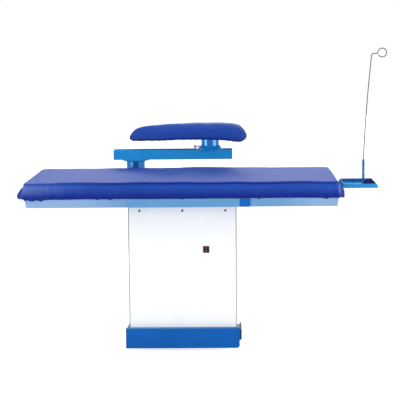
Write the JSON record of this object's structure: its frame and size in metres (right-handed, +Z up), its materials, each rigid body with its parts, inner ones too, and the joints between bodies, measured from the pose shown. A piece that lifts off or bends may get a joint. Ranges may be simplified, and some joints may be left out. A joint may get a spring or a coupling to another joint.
{
  "type": "vacuum ironing table",
  "caption": "Vacuum ironing table: padded board over a suction pan and fan cabinet, foot pedal damper, swing buck on a hollow arm, iron tray and hose hanger.",
  "frame": {"origin": "on the floor, at the plinth's underside, below the middle of the suction pan", "axes": "+X along the board to the operator's right, +Y to the rear, +Z up; the operator stands at -Y"},
  "size_m": [1.8033, 0.9236, 1.4708],
  "materials": {
    "cabinet_white": "satin powder coat",
    "gasket_grey": "matte",
    "pan_pale_blue": "satin paint",
    "collar_blue": "satin paint",
    "strong_blue": "satin paint",
    "pedal_blue": "satin paint",
    "arm_blue": "gloss paint",
    "neck_blue": "high gloss paint",
    "tray_blue": "satin paint",
    "bright_steel": "satin",
    "galvanised": "galvanised",
    "chrome": "polished",
    "motor_grey": "painted",
    "black_rubber": "matte",
    "black_plastic": "matte",
    "grey_plastic": "matte",
    "red_plastic": "gloss",
    "cloth_blue": "woven, slight sheen",
    "foam": "open cell"
  },
  "bodies": {
    "frame": {"base_pan": "strong_blue", "cabinet_shell": "cabinet_white", "panel_gasket": "gasket_grey", "front_panel": "cabinet_white", "panel_screw_left": "chrome", "panel_screw_centre": "chrome", "panel_screw_right": "chrome", "head_frame": "strong_blue", "suction_pan": "pan_pale_blue", "pan_collar": "collar_blue", "pan_bracket": "strong_blue", "board_frame": "pan_pale_blue", "perforated_plate": "bright_steel", "foam_pad": "foam", "table_cover": "cloth_blue", "suction_duct": "galvanised", "fan_housing": "galvanised", "fan_motor": "motor_grey", "fan_shelf": "galvanised", "exhaust_duct": "galvanised", "exhaust_flange": "galvanised", "control_box": "grey_plastic", "switch_bezel": "black_plastic", "cable_gland": "black_plastic", "pedal_bearing_left": "black_plastic", "pedal_bearing_right": "black_plastic", "return_spring": "bright_steel", "post_duct": "arm_blue", "post_gusset": "arm_blue", "pivot_post": "arm_blue", "post_flange": "arm_blue", "iron_tray": "tray_blue", "tray_bracket_front": "strong_blue", "tray_bracket_rear": "strong_blue", "iron_rest_pad": "black_rubber", "hanger_socket": "tray_blue", "hanger_nut": "chrome"},
    "pedal": {"pedal_plate": "pedal_blue", "pedal_arm_left": "pedal_blue", "pedal_arm_right": "pedal_blue", "pedal_shaft": "bright_steel", "pedal_lever": "bright_steel"},
    "link": {"link_rod": "bright_steel"},
    "damper": {"damper_flap": "bright_steel", "damper_crank": "bright_steel"},
    "fan_rotor": {"fan_impeller": "galvanised", "motor_shaft": "bright_steel"},
    "rocker": {"switch_rocker": "red_plastic"},
    "arm": {"arm_pivot_tube": "bright_steel", "swing_arm_tube": "arm_blue", "arm_cap_left": "arm_blue", "arm_cap_right": "arm_blue", "neck_flange": "arm_blue"},
    "lock": {"lock_screw": "chrome"},
    "buck": {"buck_neck": "neck_blue", "buck_base_plate": "bright_steel", "buck_foam": "foam", "buck_cover": "cloth_blue"},
    "hanger": {"hanger_rod": "bright_steel"}
  },
  "joints": [
    {"name": "pedal_press", "type": "hinge", "parent": "frame", "child": "pedal", "pos_m": [0, 0.02, 0.083], "axis": [1, 0, 0], "range_deg": [0, 4], "stiffness_Nm_per_rad": 60, "springref_deg": -14.32, "deforming": ["return_spring"]},
    {"name": "link_lift", "type": "slide", "parent": "frame", "child": "link", "axis": [0, 0, 1], "range_m": [-0.0135, 0]},
    {"name": "damper_turn", "type": "hinge", "parent": "frame", "child": "damper", "pos_m": [-0.03, 0.03, 0.64], "axis": [1, 0, 0], "range_deg": [0, 66]},
    {"name": "impeller_spin", "type": "hinge", "parent": "frame", "child": "fan_rotor", "pos_m": [-0.03, 0.03, 0.44], "axis": [0, 0, 1], "continuous": true},
    {"name": "rocker_tilt", "type": "hinge", "parent": "frame", "child": "rocker", "pos_m": [0.1125, -0.187, 0.5025], "axis": [1, 0, 0], "range_deg": [0, 14]},
    {"name": "arm_swing", "type": "hinge", "parent": "frame", "child": "arm", "pos_m": [-0.265, 0.44, 0.86], "axis": [0, 0, 1], "range_deg": [-90, 90]},
    {"name": "buck_swivel", "type": "hinge", "parent": "arm", "child": "buck", "pos_m": [0.128, 0.44, 0.95], "axis": [0, 0, 1], "range_deg": [-180, 180]},
    {"name": "lock_turn", "type": "hinge", "parent": "arm", "child": "lock", "pos_m": [0.06, 0.44, 0.958], "axis": [1, 0, 0], "range_deg": [0, 360]},
    {"name": "hanger_swivel", "type": "hinge", "parent": "frame", "child": "hanger", "pos_m": [0.895, 0.02, 0.85], "axis": [0, 0, 1], "range_deg": [-180, 180]}
  ],
  "couplings": [
    {"joint": "link_lift", "follows": "pedal_press", "m_per_rad": -0.185},
    {"joint": "damper_turn", "follows": "pedal_press", "ratio": 16.3}
  ]
}
